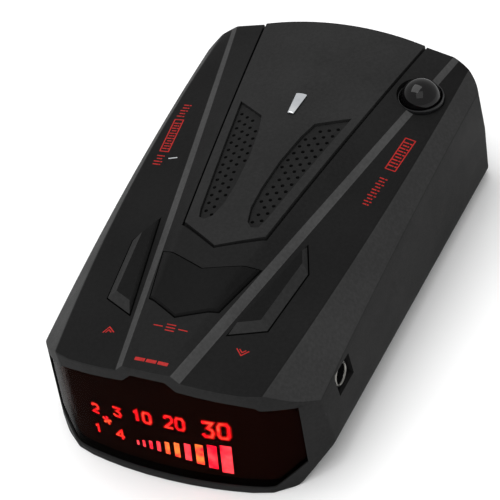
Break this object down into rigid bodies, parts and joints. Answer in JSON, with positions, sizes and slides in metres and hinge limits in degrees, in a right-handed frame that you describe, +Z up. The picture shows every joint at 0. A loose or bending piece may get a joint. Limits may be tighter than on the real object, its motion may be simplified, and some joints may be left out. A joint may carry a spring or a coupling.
{
  "type": "radar detector",
  "caption": "Wedge-shaped dashboard radar detector with a wrap-round display window, press keys, ribbed crown panel, domed light sensor and a side power socket.",
  "frame": {"origin": "bottom centre of the whole object, on the surface it rests on", "axes": "+Z up, -Y towards the driver (display end), +Y towards the windscreen, +X to the side with the power socket"},
  "size_m": [0.068, 0.1119, 0.0351],
  "materials": {
    "case_abs": "finely textured black ABS",
    "panel_abs": "finely textured charcoal ABS",
    "grille_abs": "dark matt ABS",
    "key_abs": "satin black ABS",
    "plated_trim": "bright plating",
    "lens_pc": "smoked polished polycarbonate",
    "bezel_abs": "gloss black ABS",
    "window_pc": "dark red-brown tinted polished polycarbonate",
    "legend_print": "black film with clear red marks",
    "white_abs": "white light-box plastic",
    "board_green": "solder-masked glass-epoxy board",
    "led_clear": "small surface-mounted lamp",
    "black_nylon": "moulded nylon",
    "gold_pin": "gold-flashed brass",
    "nickel_contact": "nickel-plated brass",
    "screw_steel": "black zinc-plated steel",
    "die_cast": "die-cast alloy",
    "tin_plate": "tin-plated steel sheet",
    "ptfe_board": "microwave laminate",
    "chip_epoxy": "black moulding epoxy",
    "crystal_can": "drawn metal can",
    "cap_sleeve": "shrunk plastic sleeve",
    "cone_paper": "pressed paper",
    "ferrite": "sintered ferrite",
    "speaker_steel": "zinc-plated steel",
    "plunger_abs": "ivory switch plunger"
  },
  "bodies": {
    "housing": {"top_case": "case_abs", "bottom_case": "case_abs", "top_panel": "panel_abs", "right_grille": "grille_abs", "left_grille": "grille_abs", "chrome_badge": "plated_trim", "sensor_dome": "lens_pc", "dome_bezel": "bezel_abs", "sensor_board": "board_green", "photodiode": "chip_epoxy", "switch_bases": "black_nylon", "display_window": "window_pc", "legend_film": "legend_print", "display_reflector": "white_abs", "display_board": "board_green", "display_leds": "led_clear", "display_header": "black_nylon", "header_pins": "gold_pin", "jack_housing": "black_nylon", "jack_pin": "nickel_contact", "jack_spring": "nickel_contact", "main_board": "board_green", "case_screws": "screw_steel", "board_screws": "screw_steel", "horn_antenna": "die_cast", "antenna_shield": "tin_plate", "mixer_board": "ptfe_board", "speaker_frame": "speaker_steel", "speaker_cone": "cone_paper", "speaker_magnet": "ferrite", "microcontroller": "chip_epoxy", "voice_chip": "chip_epoxy", "crystal": "crystal_can", "voltage_regulator": "chip_epoxy", "capacitors": "cap_sleeve", "chip_resistors": "chip_epoxy"},
    "up_key": {"up_button": "key_abs", "up_plunger": "plunger_abs"},
    "menu_key": {"menu_button": "key_abs", "menu_plunger": "plunger_abs"},
    "down_key": {"down_button": "key_abs", "down_plunger": "plunger_abs"}
  },
  "joints": [
    {"name": "up_press", "type": "slide", "parent": "housing", "child": "up_key", "axis": [0, 0, -1], "range_m": [0, 0.0005], "stiffness_N_per_m": 2000, "springref_m": -0.0003},
    {"name": "menu_press", "type": "slide", "parent": "housing", "child": "menu_key", "axis": [0, 0, -1], "range_m": [0, 0.0005], "stiffness_N_per_m": 2000, "springref_m": -0.0003},
    {"name": "down_press", "type": "slide", "parent": "housing", "child": "down_key", "axis": [0, 0, -1], "range_m": [0, 0.0005], "stiffness_N_per_m": 2000, "springref_m": -0.0003}
  ]
}
